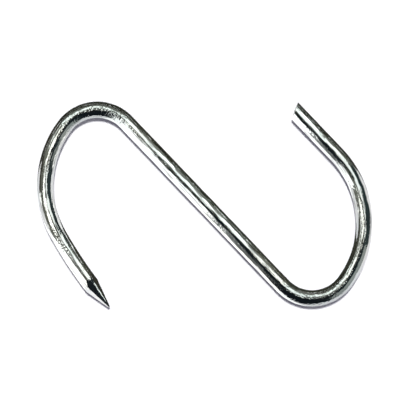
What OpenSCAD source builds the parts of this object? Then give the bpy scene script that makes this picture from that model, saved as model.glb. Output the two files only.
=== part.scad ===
// S hook bent from one length of round steel bar, lying flat.
// One end is cut off blunt, the other is ground to a point.
// The line of pull from seat to seat runs along X, through the middle of the shank.
// The origin is under the middle of the shank, where the bar rests on z = 0.
// Both ends bend the same way, so half a turn about Z swaps the two bends.

/* [Bar] */
// Diameter of the round bar
bar_d = 6; // [4:0.5:8]
// Length of the straight shank between the two bends
shank_len = 82; // [60:1:140]

/* [Bends] */
// Inside radius of the tight crown, where each bend leaves the shank
crown_r = 11.7; // [8:0.1:20]
// Angle that the crown turns through
crown_turn = 100; // [70:1:120]
// Inside radius of the open seat, where a rail or a load hangs
seat_r = 33; // [25:0.5:45]

/* [Blunt end] */
// Straight length of the blunt leg, which lies parallel to the shank
blunt_leg = 22; // [12:0.5:40]
// How far the cut across the blunt end leans from square
blunt_slant = 26; // [0:1:35]

/* [Pointed end] */
// Angle from the shank at which the seat ends and the pointed leg begins
point_turn = 165.5; // [150:0.5:175]
// Inside radius of the pointed leg, which is almost straight
point_leg_r = 160; // [100:5:400]
// Length of the pointed leg from the seat to the tip
point_leg = 32.5; // [24:0.5:45]
// Length that is ground down to the point
point_len = 12; // [8:0.5:16]
// Thickness that is left at the very tip
tip_d = 0.6; // [0.4:0.1:2]
// Faces ground by hand round the point, each given as [direction, extra length]
// A direction of 0 looks away from the shank, and 90 looks up
// The extra length is how far the face starts behind point_len
point_faces = [
    [40, -1],
    [93, 0.5],
    [120, 0],
    [148, 1],
    [205, 0],
    [268, 0.5],
    [330, 0]
];

/* [Hidden] */
$fn = 96;
bar_r = bar_d / 2;
// Radii along the middle of the bar
crown_mid_r = crown_r + bar_r;
seat_mid_r = seat_r + bar_r;
leg_mid_r = point_leg_r + bar_r;
// Centres that the crown, the seat and the pointed leg are bent round
crown_c = [shank_len / 2, crown_mid_r];
seat_c = crown_c - toward(crown_turn - 90, seat_mid_r - crown_mid_r);
leg_c = seat_c - toward(point_turn - 90, leg_mid_r - seat_mid_r);
// Where the pointed leg ends, and the line that its point is ground along
tip_turn = point_turn + arc_angle(point_leg, leg_mid_r);
tip = leg_c + toward(tip_turn - 90, leg_mid_r);
grind_turn = tip_turn - arc_angle(point_len, leg_mid_r) / 2;
// The line of pull meets both seats square on, so it runs through their centres
pull_angle = atan2(seat_c[1], seat_c[0]);

function toward(angle, distance) = distance * [cos(angle), sin(angle)];
function arc_angle(length, radius) = length / radius * 180 / PI;

// Moves by hundredths of a millimetre and then by the rest,
// so that stretches of bar meet exactly end to end
module place(at) {
    coarse = [for (a = at) round(a * 100) / 100];
    translate(coarse) translate(at - coarse) children();
}

// Bar bent round a centre, while the way it runs turns between two angles
module bent_bar(centre, mid_r, from, to) {
    place(centre)
        rotate_extrude(angle = to - from, start = from - 90)
            translate([mid_r, 0]) circle(d = bar_d);
}

module shank() {
    translate([-shank_len / 2, 0, 0])
        rotate([0, 90, 0]) cylinder(d = bar_d, h = shank_len);
}

// Straight leg, cut off at a slant with its longer side outside the hook
module blunt_leg() {
    place(seat_c + [0, seat_mid_r])
        difference() {
            rotate([0, -90, 0]) cylinder(d = bar_d, h = blunt_leg + bar_d);
            translate([-blunt_leg, 0, 0])
                rotate([0, 0, blunt_slant])
                    translate([-2 * bar_d, -2 * bar_d, -bar_d])
                        cube([2 * bar_d, 4 * bar_d, 2 * bar_d]);
        }
}

module blunt_end() {
    bent_bar(crown_c, crown_mid_r, 0, crown_turn);
    bent_bar(seat_c, seat_mid_r, crown_turn, 180);
    blunt_leg();
}

// What one ground face takes off a bar that ends at the origin
module ground_off(direction, length) {
    slope = atan((bar_r - tip_d / 2) / length);
    rotate([90 - direction, 0, 0])
        translate([-length, 0, bar_r])
            rotate([0, slope, 0])
                translate([-bar_d, -bar_d, 0])
                    cube([length + 2 * bar_d, 2 * bar_d, bar_d]);
}

// Almost straight leg, ground flat from all sides down to a point
module pointed_leg() {
    difference() {
        bent_bar(leg_c, leg_mid_r, point_turn, tip_turn);
        translate(tip)
            rotate([0, 0, grind_turn])
                for (face = point_faces) ground_off(face[0], point_len + face[1]);
    }
}

module pointed_end() {
    bent_bar(crown_c, crown_mid_r, 0, crown_turn);
    bent_bar(seat_c, seat_mid_r, crown_turn, point_turn);
    pointed_leg();
}

module hook() {
    color([0.72, 0.73, 0.71])
        rotate([0, 0, -pull_angle])
            translate([0, 0, bar_r]) {
                shank();
                blunt_end();
                rotate([0, 0, 180]) pointed_end();
            }
}

hook();
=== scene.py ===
# %% [markdown]
# # An S hook of bright steel bar
#
# The object is one length of round steel bar, bent cold into an open S. One end is sheared off and
# stays blunt. The other is ground by hand to a point. There is nothing else to it, so all of its
# looks come from three finishes: the drawn bar, the ground faces and the sheared cut.
#
# The hook comes in as a fixed frame, in metres. It lies flat on z = 0, and its origin is under
# the middle of the straight shank.

# %% Load the frame
from math import atan2, cos, degrees, pi, radians, sin, tan

import bpy
import numpy as np
from mathutils import Matrix, Vector


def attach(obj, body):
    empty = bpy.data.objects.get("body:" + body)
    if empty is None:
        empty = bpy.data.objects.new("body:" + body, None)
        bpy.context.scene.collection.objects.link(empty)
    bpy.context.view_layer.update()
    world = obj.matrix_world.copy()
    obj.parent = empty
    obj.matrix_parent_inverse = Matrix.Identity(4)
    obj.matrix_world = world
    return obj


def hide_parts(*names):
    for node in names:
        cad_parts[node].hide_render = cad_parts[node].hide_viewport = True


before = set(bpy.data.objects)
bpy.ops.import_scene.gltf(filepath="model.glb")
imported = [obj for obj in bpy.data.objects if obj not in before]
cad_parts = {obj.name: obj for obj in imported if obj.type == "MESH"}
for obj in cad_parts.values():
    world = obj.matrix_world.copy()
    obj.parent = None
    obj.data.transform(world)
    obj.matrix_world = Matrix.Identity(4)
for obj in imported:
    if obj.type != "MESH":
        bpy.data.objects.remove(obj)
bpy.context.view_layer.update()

mm = 0.001

# %% [markdown]
# ## The sizes
#
# A bent bar is fully described by its diameter and a list of stretches, just as a bending shop
# writes it down: so far straight, then round this radius through that angle. The crown is the tight
# bend where the bar leaves the shank, and the seat is the wide one that things hang in. Radii are
# given on the inside of a bend, where a gauge is held. These are the same few sizes as the solid's,
# so the finer skin that is made here lies on it to within a tenth of a millimetre.

# %% Sizes of the bar
bar_r = 3.0 * mm
shank_len = 82 * mm
crown_r, crown_turn = 11.7 * mm, radians(100)
seat_r, seat_turn = 33 * mm, radians(180)
blunt_leg, blunt_slant = 22 * mm, radians(26)
point_turn = radians(165.5)
point_leg, point_leg_r = 32.5 * mm, 160 * mm
point_len, tip_r = 12 * mm, 0.3 * mm
print(f"bar {2 * bar_r / mm:.1f} mm thick, shank {shank_len / mm:.0f} mm long")

# %% [markdown]
# ## The middle line
#
# Both halves of the hook start in the middle of the shank and bend the same way, so half a turn
# swaps them, and it is enough to walk along one half at a time. A stretch is (length, radius), and
# a straight one has no radius. The walk works on whole arrays of distances, which is much quicker
# in Blender than a loop over points.

# %% Walk along one half of the bar
crown = (crown_turn * (crown_r + bar_r), crown_r + bar_r)
blunt_half = [
    (shank_len / 2, None),
    crown,
    ((seat_turn - crown_turn) * (seat_r + bar_r), seat_r + bar_r),
    (blunt_leg, None),
]
pointed_half = [
    (shank_len / 2, None),
    crown,
    ((point_turn - crown_turn) * (seat_r + bar_r), seat_r + bar_r),
    (point_leg, point_leg_r + bar_r),
]


def walk(half, distance):
    """The middle line's x, y, heading and curvature at each distance from the shank's middle."""
    x, y, heading, curvature = (np.zeros_like(distance) for _ in range(4))
    start, from_x, from_y, turned = 0.0, 0.0, 0.0, 0.0
    for length, radius in half:
        here = distance >= start
        gone = distance[here] - start
        if radius is None:
            x[here], y[here] = from_x + gone * cos(turned), from_y + gone * sin(turned)
            heading[here], curvature[here] = turned, 0
            from_x, from_y = from_x + length * cos(turned), from_y + length * sin(turned)
        else:
            centre_x, centre_y = from_x - radius * sin(turned), from_y + radius * cos(turned)
            heading[here], curvature[here] = turned + gone / radius, 1 / radius
            x[here] = centre_x + radius * np.sin(heading[here])
            y[here] = centre_y - radius * np.cos(heading[here])
            turned += length / radius
            from_x, from_y = centre_x + radius * sin(turned), centre_y - radius * cos(turned)
        start += length
    return x, y, heading, curvature


blunt_at = sum(length for length, radius in blunt_half)
point_at = -sum(length for length, radius in pointed_half)
print(f"blunt end {blunt_at / mm:.1f} mm and point {-point_at / mm:.1f} mm from the shank's middle")

# %% [markdown]
# ## Bending
#
# The straight bar is measured along t, which is 0 in the shank's middle, grows towards the blunt
# end and is negative towards the point. Bending is then one function: it takes a place on the
# straight bar (t, sideways, up) to its place on the hook. The bar is lifted by its radius, to
# lie on the floor, and turned until the line of pull is the X axis. That line runs through the
# centre that the seat is bent round.

# %% Bend the straight bar
seat_x = shank_len / 2 - (seat_r - crown_r) * sin(crown_turn)
seat_y = crown_r + bar_r + (seat_r - crown_r) * cos(crown_turn)
pull_angle = atan2(seat_y, seat_x)


def bend(t, sideways, up):
    """Places on the hook, and the bend's curvature there. The three arrays have one shape."""
    pointed = t < 0
    blunt, point = walk(blunt_half, np.maximum(t, 0)), walk(pointed_half, np.maximum(-t, 0))
    half_turn = np.where(pointed, -1, 1)
    x, y, heading, curvature = (np.where(pointed, p, b) for p, b in zip(point, blunt))
    x, y = half_turn * x - sideways * np.sin(heading), half_turn * y + sideways * np.cos(heading)
    c, s = cos(pull_angle), sin(pull_angle)
    return np.stack([c * x + s * y, c * y - s * x, up + bar_r], axis=-1), curvature


print(f"the line of pull leans {degrees(pull_angle):.2f} degrees from the shank")

# %% [markdown]
# ## Rings round the bar
#
# The bar's skin is a stack of rings. Half a millimetre apart is enough for the bends, but the
# ground point and the cut need them closer. The last rings at the blunt end lean over, until the last
# one lies in the plane of the cut, whose longer side is on the outside of the hook.
#
# A real bar is never quite true. Rollers and bending leave shallow flats, too shallow to see as a
# shape, but a mirror finish shows them at once, because its reflections swim. So the radius
# changes by a few hundredths of a millimetre, in slow waves that are sums of sines. The skin is
# also made a little thinner than the solid, so that with its waves it stays inside the solid's box.

# %% Make the rings
around = 128
angle = np.linspace(0, 2 * pi, around, endpoint=False)
fine_step, coarse_step = 0.1 * mm, 0.5 * mm
point_zone, cut_zone = point_at + point_len + 2 * mm, blunt_at - 2.5 * mm
rim = 0.22 * mm
thinner_by, wave_high = 0.03 * mm, 0.018 * mm
longest_wave, shortest_wave = 60 * mm, 12 * mm
bar_seed, face_seed, torn_seed, chip_seed = 1, 20, 40, 60


def spaced(start, end, apart):
    """Places from the start up to the end, but without the end itself."""
    return np.linspace(start, end, round((end - start) / apart), endpoint=False)


def waves(seed, t, angle, longest, shortest, count=14, most_round=3):
    """Slow random waves of about unit height along the bar and round it."""
    rng = np.random.default_rng(seed)
    total = 0
    for _ in range(count):
        length = longest * (shortest / longest) ** rng.random()
        turns, phase = rng.integers(0, most_round + 1), rng.random(2) * 2 * pi
        total = total + np.sin(2 * pi * t / length + phase[0]) * np.cos(turns * angle + phase[1])
    return total / np.sqrt(count / 2)


ring_t = np.concatenate([
    spaced(point_at, point_zone, fine_step),
    spaced(point_zone, cut_zone, coarse_step),
    spaced(cut_zone, blunt_at, fine_step),
    [blunt_at],
])[:, None]
lean = np.clip((ring_t - cut_zone) / (blunt_at - cut_zone), 0, 1)
radius = bar_r - thinner_by + wave_high * waves(bar_seed, ring_t, angle, longest_wave, shortest_wave)
sideways, up = radius * np.cos(angle), radius * np.sin(angle)
t = ring_t - lean * (tan(blunt_slant) * sideways + rim)
print(f"{len(ring_t)} rings, radius {radius.min() / mm:.3f} to {radius.max() / mm:.3f} mm")

# %% [markdown]
# ## The way of the point
#
# Grinding needs to know three things: where the tip is, which way the last few millimetres of the
# bar run, and for each vertex the straight way out to it from the middle of the bar. All of them
# come from bend() and walk(), so they stay right when a size changes.

# %% Directions at the point
skin, curvature = bend(t, sideways, up)
middle, _ = bend(t, np.zeros_like(t), np.zeros_like(t))
outwards = (skin - middle) / radius[..., None]
tip = bend(np.array(point_at), np.array(0.0), np.array(0.0))[0]
_, _, tip_heading, _ = walk(pointed_half, np.array([-point_at - point_len / 2]))
grind_heading = tip_heading[0] - pull_angle + pi
along_point = np.array([cos(grind_heading), sin(grind_heading), 0])
inwards = np.array([-sin(grind_heading), cos(grind_heading), 0])
print("tip of the middle line in mm:", (tip / mm).round(2).tolist())

# %% [markdown]
# ## Grinding the point
#
# The point is held against a wheel and turned a little between passes, which leaves a few long
# flat faces. Each face is a plane, and every vertex outside it is pulled straight towards the
# middle of the bar until it touches the plane. That is the same as grinding it off, and it keeps
# the rings in order. The planes are given by the way each face looks, where 0 is away from the
# shank and 90 is up, and by how many millimetres longer than the point it is. A hand never holds
# still, so the planes are a little wavy, and chipped along the shoulder where they begin.

# %% Grind the faces
longer_by = {40: -1, 93: 0.5, 120: 0, 148: 1, 205: 0, 268: 0.5, 330: 0}
face_wave, chip_deep, shoulder_long = 0.02 * mm, 0.06 * mm, 1.2 * mm
face_waves_between, chips_between, chips_closer = (9 * mm, 2 * mm), (3 * mm, 0.8 * mm), 4
grazing, barely_ground, thinnest = 0.05, 0.004 * mm, 0.05 * mm
reach = radius.copy()
faces_ground = {}
for number, (looks, extra) in enumerate(longer_by.items()):
    length = point_len + extra * mm
    slope = atan2(bar_r - tip_r, length)
    facing = -cos(radians(looks)) * inwards + sin(radians(looks)) * np.array([0, 0, 1])
    normal = cos(slope) * facing + sin(slope) * along_point
    wavy = face_wave * waves(face_seed + number, ring_t, angle, *face_waves_between)
    shoulder = np.exp(-(((ring_t - point_at - length) / shoulder_long) ** 2))
    chips = waves(chip_seed + number, ring_t, chips_closer * angle, *chips_between)
    chipped = chip_deep * shoulder * chips
    begins = tip + facing * bar_r - along_point * length
    faces_ground[looks] = Vector(begins), Vector(normal)
    room = (begins - middle) @ normal + wavy + chipped
    tilt = outwards @ normal
    reach = np.where(tilt > grazing, np.minimum(reach, room / np.maximum(tilt, grazing)), reach)
ground = (reach < radius - barely_ground) & (ring_t < point_zone)
reach = np.where(ring_t < point_zone, np.maximum(reach, thinnest), radius)
skin = middle + outwards * reach[..., None]
tip_across = 2 * reach[0].mean() / mm
print(f"{len(longer_by)} faces ground over {point_len / mm:.0f} mm, tip {tip_across:.2f} mm across")

# %% [markdown]
# ## The sheared end
#
# Bar is cut off cold between two blades. That leaves a small rounded rim all the way round and a
# face that is torn rather than cut, so it is full of fine steps. The rim is a few more rings, and
# the face is a stack of smaller and smaller rings in the plane of the cut.

# %% Close both ends
rim_steps, face_steps = 4, 9
torn_deep, torn_finer, tears_between = 0.03 * mm, 30, (50 * mm, 9 * mm)
rim_rings = [
    (bar_r - rim * (1 - cos(q)), rim * sin(q)) for q in np.linspace(0, pi / 2, rim_steps + 1)[1:]
]
face_rings = [((bar_r - rim) * share, rim) for share in np.linspace(1, 0, face_steps + 1)[1:-1]]
cut_rings = []
for ring_r, height in rim_rings + face_rings:
    true_r = ring_r / bar_r * radius[-1]
    across, upwards = true_r * np.cos(angle), true_r * np.sin(angle)
    torn = torn_deep * waves(torn_seed, across * torn_finer, angle, *tears_between) * (height == rim)
    end_t = blunt_at - rim + height - tan(blunt_slant) * across + torn
    cut_rings.append(bend(end_t, across, upwards)[0])
cut_middle = bend(np.array([blunt_at]), np.zeros(1), np.zeros(1))[0]
vertices = np.concatenate([tip[None], skin.reshape(-1, 3), np.concatenate(cut_rings), cut_middle])
rings_in_all = len(ring_t) + len(cut_rings)
print(f"{len(vertices)} vertices in {rings_in_all} rings")

# %% [markdown]
# ## One mesh
#
# Neighbouring rings are joined by quads, and the two ends are closed by fans of triangles. A mesh
# that is built from lists like this has exactly the vertices it needs, in an order that is known,
# and that order is used again for the finishes.

# %% Build the mesh
ring_starts = 1 + around * np.arange(rings_in_all - 1)[:, None]
once_round = np.arange(around)
first, after = ring_starts + once_round, ring_starts + (once_round + 1) % around
quads = np.stack([first, after, after + around, first + around], axis=-1).reshape(-1, 4)
last = len(vertices) - 1
fan = [(0, 1 + (k + 1) % around, 1 + k) for k in range(around)]
fan += [(last, last - around + k, last - around + (k + 1) % around) for k in range(around)]
mesh = bpy.data.meshes.new("bent_bar")
mesh.from_pydata(vertices.tolist(), [], quads.tolist() + fan)
mesh.shade_smooth()
print(f"{2 * len(quads) + len(fan)} triangles")

# %% [markdown]
# ## What each vertex remembers
#
# Drawing marks run along the bar, so the mesh keeps where each vertex was on the straight bar. The
# finishes are painted in that straight space and follow every bend by themselves. A second value
# says how hard the steel was stretched there, because hard bending roughens a smooth skin.

# %% Keep the straight bar's places
stretch_smoothed = 7
sharp_from = radians(14)


def keep(name, kind, values):
    """Stores one value for each vertex in the mesh, under a name that a material can ask for."""
    kept = mesh.attributes.new(name, kind, "POINT")
    field = "vector" if kind == "FLOAT_VECTOR" else "value"
    kept.data.foreach_set(field, np.ravel(values).astype(np.float32))


cut_t = np.full(len(cut_rings) * around + 1, blunt_at)
cut_offsets = vertices[1 + skin.size // 3:] - cut_middle
straight = np.concatenate([
    [[point_at, 0, 0]],
    np.stack([t, sideways, up], axis=-1).reshape(-1, 3),
    np.column_stack([cut_t, cut_offsets[:, 1:]]),
])
evened = np.ones(stretch_smoothed) / stretch_smoothed
stretched = np.convolve(curvature[:, 0] * bar_r, evened, mode="same")
keep("straight", "FLOAT_VECTOR", straight)
keep("stretch", "FLOAT", np.concatenate([[0], np.repeat(stretched, around), np.zeros_like(cut_t)]))
mesh.set_sharp_from_angle(angle=sharp_from)
hook = bpy.data.objects.new("bent_bar", mesh)
bpy.context.scene.collection.objects.link(hook)
print(f"in the hardest bend the bar's radius is {stretched.max():.2f} of the bend's")

# %% [markdown]
# ## Shader maths in plain Python
#
# A finish is a small program of nodes. Written as node calls it is hard to read, so one class wraps
# what flows out of a node, and Python's own signs add the Math nodes: 1 - streaks * 0.3 then reads
# as it would on paper. Everything that isn't plain arithmetic comes from the one method node(),
# which takes the node's type, its settings and the values or links of its sockets.

# %% Wrap the nodes


def arithmetic(operation, swapped=False):
    """A method that adds one Math node. It is swapped for 1 - flow, where the flow comes second."""

    def method(flow, other):
        terms = (other, flow) if swapped else (flow, other)
        return flow.node("ShaderNodeMath", {"operation": operation}, dict(enumerate(terms)))

    return method


class Flow:
    """What comes out of one socket."""

    __add__ = __radd__ = arithmetic("ADD")
    __mul__ = __rmul__ = arithmetic("MULTIPLY")
    __sub__, __rsub__ = arithmetic("SUBTRACT"), arithmetic("SUBTRACT", swapped=True)
    at_most = arithmetic("MINIMUM")

    def __init__(self, tree, socket):
        self.tree, self.socket = tree, socket

    def node(self, kind, settings=None, sockets=None, out=0):
        return node(self.tree, kind, settings, sockets, out)

    def between(self, low, high):
        """0 below low, 1 above high, and a soft step from one to the other."""
        sockets = {"Value": self, "From Min": low, "From Max": high}
        return self.node("ShaderNodeMapRange", {"interpolation_type": "SMOOTHSTEP"}, sockets)

    def squeezed(self, along, sideways, up):
        """A vector with its three parts made larger or smaller."""
        sockets = {0: self, 1: (along, sideways, up)}
        return self.node("ShaderNodeVectorMath", {"operation": "MULTIPLY"}, sockets)

    def noise(self, scale, detail, roughness=0.5):
        sockets = {"Vector": self, "Scale": scale, "Detail": detail, "Roughness": roughness}
        return self.node("ShaderNodeTexNoise", {}, sockets)


def node(tree, kind, settings=None, sockets=None, out=0):
    """Adds one node, sets it up, fills its sockets and returns what flows out of it."""
    made = tree.nodes.new(kind)
    for name, value in (settings or {}).items():
        setattr(made, name, value)
    for name, value in (sockets or {}).items():
        socket = made.inputs[name]
        if isinstance(value, Flow):
            tree.links.new(value.socket, socket)
        elif socket.type == "RGBA":
            socket.default_value = (*value, 1)
        else:
            socket.default_value = value
    return Flow(tree, made.outputs[out])


def mixed(share, first, second):
    """The first colour where share is 0, and the second where it is 1."""
    factor, first_colour, second_colour, mixed_colour = 0, 6, 7, 2
    sockets = {factor: share, first_colour: first, second_colour: second}
    return share.node("ShaderNodeMix", {"data_type": "RGBA"}, sockets, mixed_colour)


print("shader maths ready")

# %% [markdown]
# ## What all three finishes share
#
# Each finish is bare metal: a colour, a roughness and a shallow relief, all painted on the straight
# bar. The relief goes through a Bump node, which is right for marks of a few thousandths of a
# millimetre, far too fine to be worth vertices.

# %% Helpers for the finishes


def new_material(name):
    """An empty material, and its node tree."""
    made = bpy.data.materials.new(name)
    made.use_nodes = True
    made.node_tree.nodes.clear()
    return made, made.node_tree


def node_out(tree, surface, kind="ShaderNodeOutputMaterial"):
    out = tree.nodes.new(kind)
    tree.links.new(surface.socket, out.inputs["Surface"])


def remembered(tree, name, out):
    """A value that the mesh keeps at each vertex."""
    return node(tree, "ShaderNodeAttribute", {"attribute_name": name}, {}, out)


def place_in_mm(tree):
    """Where each spot was on the straight bar, in millimetres."""
    return remembered(tree, "straight", "Vector").squeezed(1 / mm, 1 / mm, 1 / mm)


def finish_as_metal(material, colour, roughness, height, depth):
    """Makes bare metal with a relief of the given depth in metres, and gives it to the skin."""
    tree = material.node_tree
    bump = height.node("ShaderNodeBump", {}, {"Height": height, "Distance": depth})
    sockets = {"Base Color": colour, "Roughness": roughness, "Metallic": 1.0, "Normal": bump}
    node_out(tree, node(tree, "ShaderNodeBsdfPrincipled", {}, sockets))
    mesh.materials.append(material)
    print(f"{material.name}: {len(tree.nodes)} nodes")


print("helpers for the finishes ready")

# %% [markdown]
# ## The drawn bar
#
# Bright bar is pulled cold through a die, and the die leaves hair-fine streaks that run on for
# centimetres. They hardly show by themselves. What shows is that every reflection gets a ragged
# edge, like a brush stroke. So three noises, coarse to fine, are stretched five to ten times along
# the bar and drive a very shallow relief, and where a streak stands out most the steel is also a
# little rougher and darker. Where the bar was bent hard, its skin has broken up into fine grains
# and shines less. That comes from the stretch that the mesh remembers.

# %% Drawn bar
cool_steel, warm_steel = (0.63, 0.67, 0.66), (0.69, 0.68, 0.64)
strained_steel, dark_streak = (0.52, 0.55, 0.54), (0.36, 0.37, 0.36)


def drawn_bar():
    material, tree = new_material("drawn_bar")
    place = place_in_mm(tree)
    stretch = remembered(tree, "stretch", "Fac")
    streaks = place.squeezed(0.1, 1, 1).noise(1.5, 0)
    flats = place.squeezed(0.2, 1, 1).noise(0.7, 1)
    dashes = place.squeezed(0.12, 1, 1).noise(2.4, 1)
    grains = place.squeezed(0.7, 1, 1).noise(2.1, 0)
    worked = stretch.between(0.06, 0.2)
    height = streaks * 0.6 + flats * 0.6 + dashes * 0.4 + grains * (0.16 + worked * 0.5)
    roughness = 0.06 + streaks.between(0.5, 0.66) * 0.1
    tint = place.squeezed(0.4, 1, 1).noise(0.09, 1)
    clean = mixed(tint.between(0.35, 0.65), cool_steel, warm_steel)
    dulled = mixed(stretch.between(0.0, 0.2), clean, strained_steel)
    colour = mixed(streaks.between(0.6, 0.68), dulled, dark_streak)
    finish_as_metal(material, colour, roughness, height, depth=0.1 * mm)


drawn_bar()

# %% [markdown]
# ## The ground faces
#
# A grinding wheel leaves short parallel scratches across the point. They are noise too, but
# stretched the other way, round the bar, and finer than the drawing marks. Ground steel is darker
# than drawn steel here, because its scratches send much of the light aside.

# %% Ground faces
dark_ground, light_ground = (0.42, 0.43, 0.44), (0.52, 0.52, 0.51)


def ground_faces():
    material, tree = new_material("ground_faces")
    place = place_in_mm(tree)
    scratches = place.squeezed(1, 0.15, 0.15).noise(5, 3, 0.6)
    colour = mixed(place.noise(0.5, 2).between(0.3, 0.7), dark_ground, light_ground)
    finish_as_metal(material, colour, 0.08 + scratches * 0.1, scratches, depth=0.02 * mm)


ground_faces()

# %% [markdown]
# ## The sheared face
#
# Torn steel is grey and grainy and hardly shines, so it is much rougher than the bar. The larger
# steps of the tear are in the mesh already. The relief adds the fine ones and the grains.

# %% Sheared face
dark_tear, light_tear = (0.34, 0.34, 0.35), (0.48, 0.48, 0.47)


def sheared_face():
    material, tree = new_material("sheared_face")
    place = place_in_mm(tree)
    grains = place.noise(4, 4, 0.7)
    steps = place.squeezed(1, 1, 0.2).noise(1.5, 2)
    colour = mixed(grains.between(0.3, 0.7), dark_tear, light_tear)
    finish_as_metal(material, colour, 0.35 + grains * 0.2, grains * 0.5 + steps, depth=0.06 * mm)


sheared_face()

# %% [markdown]
# ## Which face gets which finish
#
# The rings are in order from the point to the cut, so the number of a face says where it is. A quad
# counts as ground when all four of its corners were pulled in. The fan at the tip is ground too,
# and all that comes after the rim is sheared.

# %% Hand out the finishes
is_ground, is_sheared = 1, 2
bar_quads = (len(ring_t) - 1) * around
all_ground = ground.ravel()[quads[:bar_quads] - 1].all(axis=1)
finish = np.zeros(len(mesh.polygons), dtype=np.int32)
finish[:bar_quads][all_ground] = is_ground
finish[bar_quads + rim_steps * around : len(quads)] = is_sheared
finish[len(quads) : len(quads) + around] = is_ground
finish[len(quads) + around :] = is_sheared
mesh.polygons.foreach_set("material_index", finish)
print("faces of each finish:", np.bincount(finish).tolist())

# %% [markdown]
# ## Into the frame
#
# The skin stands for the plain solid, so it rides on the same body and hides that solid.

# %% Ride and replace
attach(hook, "root")
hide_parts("hook")
print(f"{hook.name} takes the place of the plain solid")

# %% [markdown]
# ## The picture's own directions
#
# The hook is seen from straight above, and in the picture its line of pull leans down to the right.
# The lamps are set out by the picture and not by the hook, so it helps to have the picture's right
# and up as directions in the frame. The place of the camera follows from them and from how wide
# a strip of the floor the picture takes in.

# %% Picture directions
pull_leans = radians(17.52)
picture_right = Vector((cos(pull_leans), sin(pull_leans), 0))
picture_up = Vector((-sin(pull_leans), cos(pull_leans), 0))
overhead = Vector((0, 0, 1))
picture_wide = 145 * mm
picture_centre = -1.70 * mm * picture_right + 1.44 * mm * picture_up
lens, sensor = 200, 36
camera_at = picture_centre + (picture_wide * lens / sensor + bar_r) * overhead


def towards(bearing, elevation=0):
    """A direction in the frame. Bearing 0 is the picture's top and 90 its right."""
    flat = cos(radians(bearing)) * picture_up + sin(radians(bearing)) * picture_right
    return cos(radians(elevation)) * flat + sin(radians(elevation)) * overhead


print("the picture's right in the frame:", [round(v, 3) for v in picture_right])

# %% [markdown]
# ## The floor and the backdrop
#
# The hook lies on white card that runs on up behind it as the backdrop. What looks at the card, be
# it the camera or a reflection in the metal, also sees a little glow of its own in it, so the card
# is clean white and only the deepest shadow shows: a thin violet line beside the bar. The glow
# lights nothing, so the hook itself isn't overlit.

# %% Floor and backdrop
card_wide, card_white = 6.0, (0.94, 0.94, 0.94)
card_glow, glow_strength = (0.86, 0.84, 1.0), 0.11
sky_violet, sky_strength = (0.72, 0.70, 1.0), 0.10


def looked_at(tree):
    """1 where the camera, a reflection or glass looks, and 0 where light only bounces."""
    rays = ("Is Camera Ray", "Is Glossy Ray", "Is Transmission Ray")
    camera_ray, glossy_ray, glass_ray = (node(tree, "ShaderNodeLightPath", {}, {}, ray) for ray in rays)
    return camera_ray + glossy_ray + glass_ray


def card_floor():
    bpy.ops.mesh.primitive_plane_add(size=card_wide, location=(0, 0, 0))
    floor = bpy.context.object
    floor.name = "floor"
    material, tree = new_material("white_card")
    card = node(tree, "ShaderNodeBsdfDiffuse", {}, {"Color": card_white})
    strength = looked_at(tree) * glow_strength
    glow = node(tree, "ShaderNodeEmission", {}, {"Color": card_glow, "Strength": strength})
    node_out(tree, node(tree, "ShaderNodeAddShader", {}, {0: card, 1: glow}))
    floor.data.materials.append(material)


def backdrop():
    world = bpy.data.worlds.new("daylight")
    bpy.context.scene.world = world
    world.use_nodes = True
    tree = world.node_tree
    tree.nodes.clear()
    dim = node(tree, "ShaderNodeBackground", {}, {"Color": sky_violet, "Strength": sky_strength})
    white = node(tree, "ShaderNodeBackground", {}, {"Color": (1, 1, 1), "Strength": 1.0})
    surface = node(tree, "ShaderNodeMixShader", {}, {0: looked_at(tree), 1: dim, 2: white})
    node_out(tree, surface, "ShaderNodeOutputWorld")


card_floor()
backdrop()
print("floor and backdrop are white card")

# %% [markdown]
# ## Ways to hang a lamp
#
# Polished metal shows the room and not itself. So the light is two separate jobs: some lamps are
# there only for the metal to mirror, and one only lights the card. Blender's visibility switches
# keep the two apart, and what the metal throws back onto the card is left out, or it would fill
# the thin shadow. A roof box hangs flat above the hook, and its edges are given as slopes seen from
# the hook: 1 is half way down to the horizon. A wall box stands upright on the floor.

# %% Ways to hang a lamp
roof_high = 0.95


def put_lamp(light, at, across, along, mirrored):
    """Places a lamp that shines back along its third axis. It is mirrored, or else lights the card."""
    lamp = bpy.data.objects.new(light.name, light)
    lamp.location = at
    lamp.rotation_euler = Matrix((across, along, across.cross(along))).transposed().to_euler()
    lamp.visible_camera, lamp.visible_glossy, lamp.visible_diffuse = False, mirrored, not mirrored
    bpy.context.scene.collection.objects.link(lamp)


def first_look(tree):
    """1 for what the metal shows by itself, and 0 for light that has been on the card before."""
    return 1 - node(tree, "ShaderNodeLightPath", {}, {}, "Diffuse Depth").at_most(1)


def softbox(name, middle, across, along, radiance, colour):
    """A flat lamp given by its middle and its two edges. Its face looks at the hook."""
    light = bpy.data.lights.new(name, "AREA")
    light.shape, light.size, light.size_y = "RECTANGLE", across.length, along.length
    light.energy = radiance * pi * across.length * along.length
    light.use_nodes = True
    tree = light.node_tree
    tree.nodes.clear()
    shine = node(tree, "ShaderNodeEmission", {}, {"Color": colour, "Strength": first_look(tree)})
    node_out(tree, shine, "ShaderNodeOutputLight")
    if across.cross(along).dot(middle) < 0:
        across = -across
    put_lamp(light, middle, across.normalized(), along.normalized(), mirrored=True)
    print(f"{name}: {light.size:.2f} by {light.size_y:.2f} m, radiance {radiance}")


def roof_box(name, bearing, right, ahead, radiance, colour, high=roof_high):
    """Slopes to the right of a bearing and ahead along it, each as (from, to)."""
    side, front = towards(bearing + 90), towards(bearing)
    middle = high * ((right[0] + right[1]) / 2 * side + (ahead[0] + ahead[1]) / 2 * front + overhead)
    across, along = high * (right[1] - right[0]) * side, high * (ahead[1] - ahead[0]) * front
    softbox(name, middle, across, along, radiance, colour)


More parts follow.
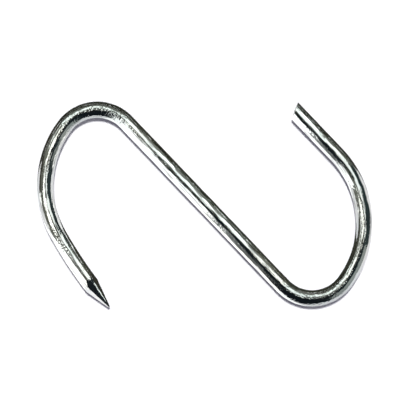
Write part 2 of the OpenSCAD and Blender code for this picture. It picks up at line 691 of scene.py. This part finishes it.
def wall_box(name, bearing, away, wide, high, radiance, colour):
    """A box that stands on the floor, square to its bearing. Its sizes are in metres."""
    middle = away * towards(bearing) + high / 2 * overhead
    softbox(name, middle, wide * towards(bearing + 90), high * overhead, radiance, colour)


def distant_key(bearing, elevation, wide, strength):
    """The one lamp that lights the card, far away and as wide in the sky as the angle given."""
    light = bpy.data.lights.new("key", "SUN")
    light.angle, light.energy = wide, strength
    back = towards(bearing, elevation)
    along = overhead.cross(back).normalized()
    put_lamp(light, back, along.cross(back), along, mirrored=False)
    print(f"key: {90 - elevation} degrees off the zenith, strength {strength}")


print(f"roof boxes hang {roof_high} m up")

# %% [markdown]
# ## The lamps
#
# Each softbox becomes one bright band along the bar, and its edges are the band's edges. The north
# east box makes the main band, along the shank and both upright runs. The north box and the north
# west box carry it round the bends, and the west box widens it in the upright runs. The small box
# is almost straight above and draws a fine glint along the top of the bar. The near box hangs so
# close to the hook that it shows in some stretches of the bar only, most of all where the upper
# bend runs out into the shank.
#
# The windows are mirrored by the flanks that look to the picture's bottom left. Beside them the
# window's shade, which is dim, softens the end of their band. The side card, dim too, is mirrored by
# the flanks that look to the bottom right. The key stands a little towards the picture's top, so
# the thin shadow falls below the bar.

# %% Hang the lamps
white, cool, cooler = (1.0, 1.0, 1.0), (0.95, 1.0, 0.99), (0.94, 1.0, 0.98)
greenish, creamy, cream = (0.96, 1.0, 0.96), (1.0, 1.0, 0.96), (1.0, 1.0, 0.95)
roof_box("north_box", 0, right=(-1.35, 0.81), ahead=(0.47, 0.72), radiance=2.0, colour=cooler)
roof_box("north_east_box", 60, right=(-0.25, 0.2), ahead=(0.16, 0.74), radiance=1.45, colour=cool)
roof_box("north_west_box", -68, right=(-0.23, 0.95), ahead=(0.25, 0.56), radiance=1.65, colour=greenish)
roof_box("west_box", 245, right=(0.03, 0.25), ahead=(0.08, 0.61), radiance=1.9, colour=cream)
roof_box("small_box", 0, right=(0.11, 0.2), ahead=(-0.03, 0.07), radiance=1.5, colour=creamy)
roof_box("near_box", 271, right=(-0.21, 0.16), ahead=(0.46, 0.72), radiance=1.5, colour=white, high=0.153)
wall_box("window", 233.6, away=0.2, wide=0.072, high=0.285, radiance=1.8, colour=white)
wall_box("window_shade", 220, away=0.2, wide=0.05, high=0.285, radiance=0.16, colour=cooler)
wall_box("low_window", 251.4, away=0.2, wide=0.12, high=0.053, radiance=1.8, colour=white)
wall_box("side_card", 126, away=0.5, wide=0.41, high=0.57, radiance=0.36, colour=greenish)
distant_key(0, elevation=71, wide=radians(9), strength=3.25)

# %% [markdown]
# ## The tent
#
# Around the lamps everything is dark, and that is what gives polished steel its black bands. The
# tent is a big ball that only reflections see. Towards the picture's top left it is brown near the
# floor and greyer higher up, but darker again at the very top. The other half is nearly black, with
# a touch of teal towards the right.

# %% Tent
tent_r = 2.5
brown, grey = (0.034, 0.032, 0.022), (0.24, 0.25, 0.22)
black, teal = (0.009, 0.013, 0.017), (0.035, 0.052, 0.055)
south_dimmed, top_dimmed = 0.63, 0.65


def only_in_reflections(thing):
    thing.visible_camera = thing.visible_diffuse = thing.visible_shadow = False
    thing.visible_transmission = thing.visible_volume_scatter = False


def dark_tent():
    bpy.ops.mesh.primitive_uv_sphere_add(segments=64, ring_count=32, radius=tent_r)
    tent = bpy.context.object
    tent.name = "tent"
    material, tree = new_material("dark_cloth")
    place = node(tree, "ShaderNodeNewGeometry", {}, {}, "Position")

    def along(direction):
        """How far a spot lies in a direction: 1 at the tent's wall there, 0 in the middle."""
        sockets = {0: place, 1: tuple(direction / tent_r)}
        return node(tree, "ShaderNodeVectorMath", {"operation": "DOT_PRODUCT"}, sockets, "Value")

    north_west, east, height = along(towards(-34)), along(towards(90)), along(overhead)
    shade = south_dimmed + along(towards(20)).between(-0.11, -0.03) * (1 - south_dimmed)
    shade = shade * (1 - height.between(0.88, 0.97) * top_dimmed)
    lit_side = mixed(height.between(0.21, 0.42) * shade, brown, grey)
    dark_side = mixed(east.between(0.1, 0.7), black, teal)
    colour = mixed(north_west.between(-0.037, 0.0), dark_side, lit_side)
    node_out(tree, node(tree, "ShaderNodeEmission", {}, {"Color": colour, "Strength": first_look(tree)}))
    tent.data.materials.append(material)
    only_in_reflections(tent)


dark_tent()
print(f"tent: a ball {2 * tent_r} m wide")

# %% [markdown]
# ## Strips of card beside the bar
#
# The flanks of a bar that lies on a table mirror the table right beside it. A photographer stands
# narrow strips of card there. Black ones give the metal a crisp dark edge against the white, on
# the flanks that look to the picture's left, top and right. White ones hide the bar's own
# shadow from the flanks that look to the bottom and the left, which then fade into the background.
# Each strip is bent along the bar by the same bend() as the skin, and gets lower towards its ends.

# %% Strips of card
card_gap, card_high, card_step = 1.0 * mm, 5.0 * mm, 1.0 * mm
past_point, past_cut = 1 * mm, 2 * mm
taper = 20


def stand_card(name, corners, faces, colour):
    """A piece of card that glows in one colour, and only in reflections."""
    shape = bpy.data.meshes.new(name)
    shape.from_pydata(corners, [], faces)
    card = bpy.data.objects.new(name, shape)
    bpy.context.scene.collection.objects.link(card)
    material, tree = new_material(name)
    node_out(tree, node(tree, "ShaderNodeEmission", {}, {"Color": colour, "Strength": first_look(tree)}))
    shape.materials.append(material)
    only_in_reflections(card)
    print(f"{name}: {len(faces)} faces")


def card_strip(name, first_bearing, last_bearing, colour):
    """Card beside each flank that looks towards a bearing between the first and the last."""
    card_t = np.arange(point_at - past_point, blunt_at + past_cut, card_step)[:, None]
    under_bar, _ = bend(card_t, np.zeros_like(card_t), np.full_like(card_t, -bar_r))
    many, span = len(card_t), last_bearing - first_bearing
    corners, faces = [], []
    for side in (-1, 1):
        foot = np.full_like(card_t, side * (bar_r + card_gap))
        low, _ = bend(card_t, foot, np.full_like(card_t, -bar_r))
        looks = (low - under_bar)[:, 0]
        bearing = np.degrees(np.arctan2(looks @ np.array(picture_right), looks @ np.array(picture_up)))
        inside = (bearing - first_bearing) % 360
        wanted = inside < span
        from_end = np.minimum(inside, span - inside) / taper
        high = card_high * np.clip(from_end, 0, 1)[:, None] * [0, 0, 1]
        start = len(corners)
        corners += low[:, 0].tolist() + (low[:, 0] + high).tolist()
        faces += [
            (start + k, start + k + 1, start + many + k + 1, start + many + k)
            for k in range(many - 1)
            if wanted[k] and wanted[k + 1]
        ]
    stand_card(name, corners, faces, colour)


card_strip("black_strip", -97, 77.5, colour=(0.058, 0.059, 0.045))
card_strip("white_strip", 182, 262, colour=(1.9, 1.9, 1.9))

# %% [markdown]
# ## A slip of card for the point
#
# One long face of the point carries a thin light streak. A mirror shows a thing where the line of
# sight, folded at the mirror, meets it. So the streak is drawn on the face first, as two places in
# the picture in millimetres, and then each of its ends is carried along the folded line of sight
# to the place where a narrow slip of card has to hang.

# %% Slip of card
slip_away, slip_wide = 3 * mm, 0.4 * mm
streaked_face, streak_ends = 120, [(-40.0, -28.5), (-35.85, -35.35)]


def hang_slip(face, streak, colour):
    """Card that one ground face mirrors as a streak."""
    begins, normal = faces_ground[face]
    ends = []
    for right, up in streak:
        spot = right * mm * picture_right + up * mm * picture_up
        spot += (begins - spot).dot(normal) / normal.z * overhead
        sight = (camera_at - spot).normalized()
        ends.append(spot + slip_away * (2 * normal.dot(sight) * normal - sight))
    side = (ends[0] - spot).cross(ends[1] - ends[0]).normalized() * slip_wide / 2
    corners = [ends[0] - side, ends[0] + side, ends[1] + side, ends[1] - side]
    stand_card("slip", corners, [(0, 1, 2, 3)], colour)


hang_slip(streaked_face, streak_ends, colour=(2.4, 2.6, 2.45))

# %% [markdown]
# ## The camera
#
# The camera looks straight down, with a long lens from well above. From close by, the bar would
# hide the floor on its far side. From here the thin shadow shows on both sides of the bar.

# %% Camera
camera_data = bpy.data.cameras.new("camera")
camera_data.lens, camera_data.sensor_width = lens, sensor
camera = bpy.data.objects.new("camera", camera_data)
camera.location = camera_at
camera.rotation_euler = Matrix((picture_right, picture_up, overhead)).transposed().to_euler()
bpy.context.scene.collection.objects.link(camera)
bpy.context.scene.camera = camera
bpy.context.scene.view_settings.view_transform = "Standard"
print(f"camera {camera_at.z / mm:.0f} mm above the floor")

# %% [markdown]
# ## The end
#
# The skin has to fill the frame's box and stay inside it.

# %% Bring the scene up to date
bpy.context.view_layer.update()
